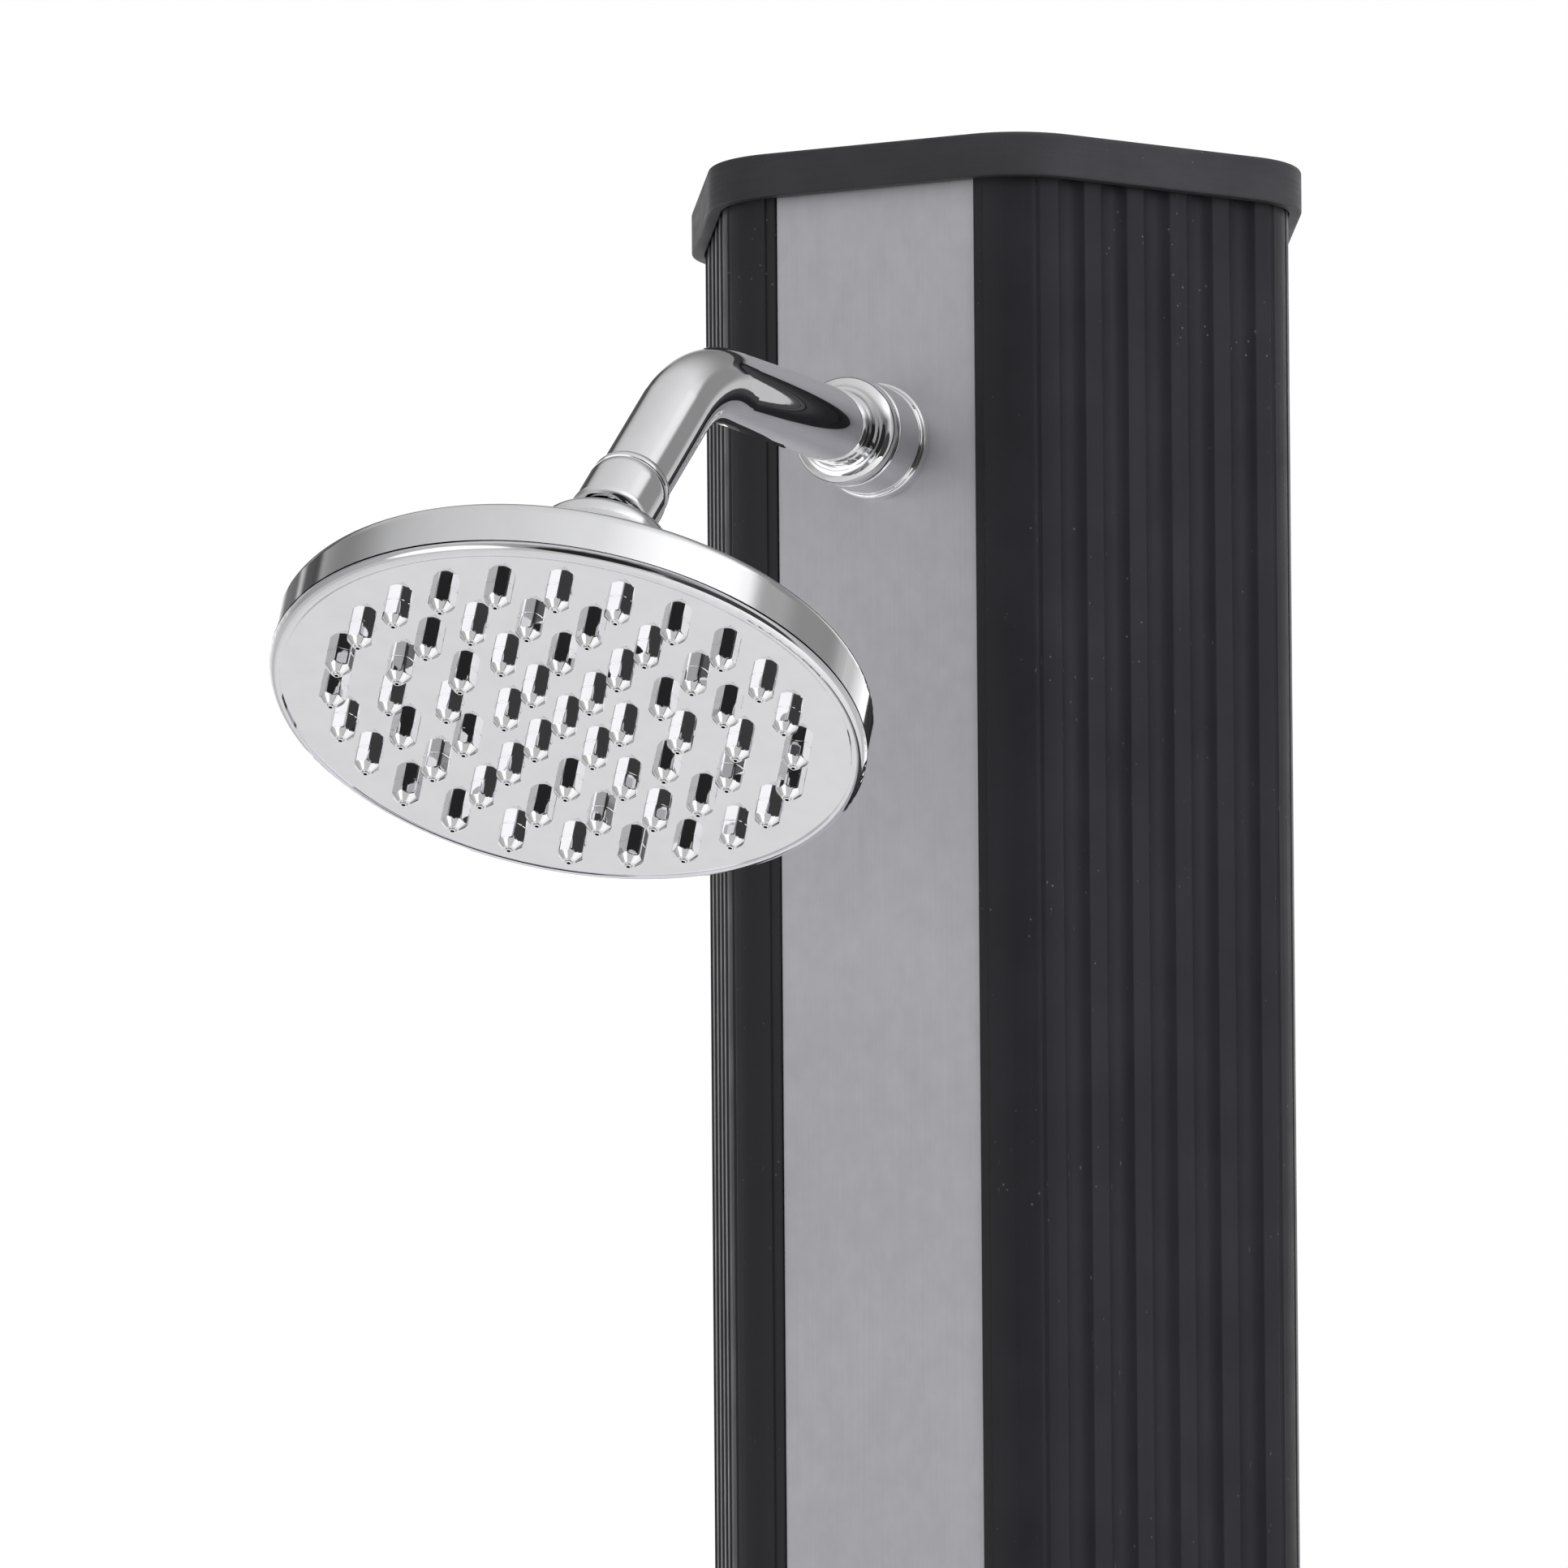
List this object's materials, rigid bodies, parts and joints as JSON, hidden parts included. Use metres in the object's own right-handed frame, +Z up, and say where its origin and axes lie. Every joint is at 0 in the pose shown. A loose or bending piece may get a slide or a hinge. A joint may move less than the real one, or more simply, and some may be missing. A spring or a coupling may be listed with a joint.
{
  "type": "outdoor shower post",
  "caption": "Free-standing outdoor shower post: ribbed six-sided black column with a light front strip, round chrome rain head on a bent arm, lever mixer and foot tap.",
  "frame": {"origin": "middle of the foot plate's underside, which is also the middle of the four anchor holes and of the column", "axes": "+Z up along the column, the front panel, arm and taps on -Y, the hose inlet on +Y"},
  "size_m": [0.27, 0.491, 2.17],
  "materials": {
    "black_coating": "matt black powder coating on extruded aluminium",
    "satin_panel": "satin silver-grey anodised strip",
    "foot_metal": "black powder-coated casting",
    "black_plastic": "fine-grained moulded plastic",
    "screw_steel": "stainless steel",
    "tank_plastic": "dark pipe plastic",
    "white_plastic": "moulded plastic",
    "brass": "machined brass",
    "copper_pipe": "drawn tube",
    "rubber": "moulded rubber",
    "chrome": "polished chrome plating",
    "plated_head": "chrome plating on moulded plastic",
    "plated_face": "soft bright plating on moulded plastic",
    "plated_nozzle": "chrome plating on moulded plastic"
  },
  "bodies": {
    "post": {"column_shell": "black_coating", "front_panel": "satin_panel", "base_plate": "foot_metal", "top_cap": "black_plastic", "foot_collar": "black_plastic", "drain_cap": "black_plastic", "column_screws": "screw_steel", "tank_tube": "tank_plastic", "tank_bottom_cap": "tank_plastic", "tank_top_cap": "tank_plastic", "tank_stand": "white_plastic", "tank_spacer": "white_plastic", "mixer_cartridge": "white_plastic", "inlet_nipple": "brass", "inlet_nut": "brass", "inlet_manifold": "brass", "drain_nipple": "brass", "foot_tee": "brass", "mixer_manifold": "brass", "arm_elbow": "brass", "arm_lock_nut": "brass", "tank_feed_pipe": "copper_pipe", "cold_pipe_lower": "copper_pipe", "cold_pipe_upper": "copper_pipe", "hot_pipe": "copper_pipe", "riser_pipe": "copper_pipe", "inlet_seal": "rubber", "drain_seal": "rubber", "nut_washer": "rubber", "escutcheon_back": "chrome", "escutcheon_front": "chrome", "shower_arm": "chrome", "swivel_nut": "chrome", "swivel_ball": "chrome", "mixer_rosette": "chrome", "mixer_body": "chrome", "mixer_dome": "chrome", "foot_tap_rosette": "chrome", "foot_tap_body": "chrome", "foot_tap_aerator": "chrome"},
    "ball_seat": {"ball_seat": "white_plastic"},
    "head": {"retaining_ring": "plated_head", "head_shell": "plated_head", "ball_seal": "rubber", "face_plate": "plated_face", "spray_nozzles": "plated_nozzle"},
    "mixer_spindle": {"mixer_spindle": "brass", "lever_pin": "screw_steel"},
    "mixer_handle": {"mixer_handle": "chrome"},
    "foot_handle": {"foot_tap_spindle": "brass", "foot_tap_handle": "chrome", "foot_handle_button": "chrome"}
  },
  "joints": [
    {"name": "head_spin", "type": "hinge", "parent": "post", "child": "ball_seat", "pos_m": [0, -0.26406, 2.02656], "axis": [0, -0.7431, -0.6691], "continuous": true},
    {"name": "head_tilt", "type": "hinge", "parent": "ball_seat", "child": "head", "pos_m": [0, -0.26406, 2.02656], "axis": [1, 0, 0], "range_deg": [-50, 1]},
    {"name": "mixer_turn", "type": "hinge", "parent": "post", "child": "mixer_spindle", "pos_m": [0, -0.11804, 1.15], "axis": [0, 1, 0], "range_deg": [-45, 45]},
    {"name": "mixer_lift", "type": "hinge", "parent": "mixer_spindle", "child": "mixer_handle", "pos_m": [0, -0.11804, 1.15], "axis": [1, 0, 0], "range_deg": [-25, 0]},
    {"name": "foot_tap_turn", "type": "hinge", "parent": "post", "child": "foot_handle", "pos_m": [0, -0.12694, 0.3], "axis": [0, 1, 0], "range_deg": [0, 90]}
  ]
}
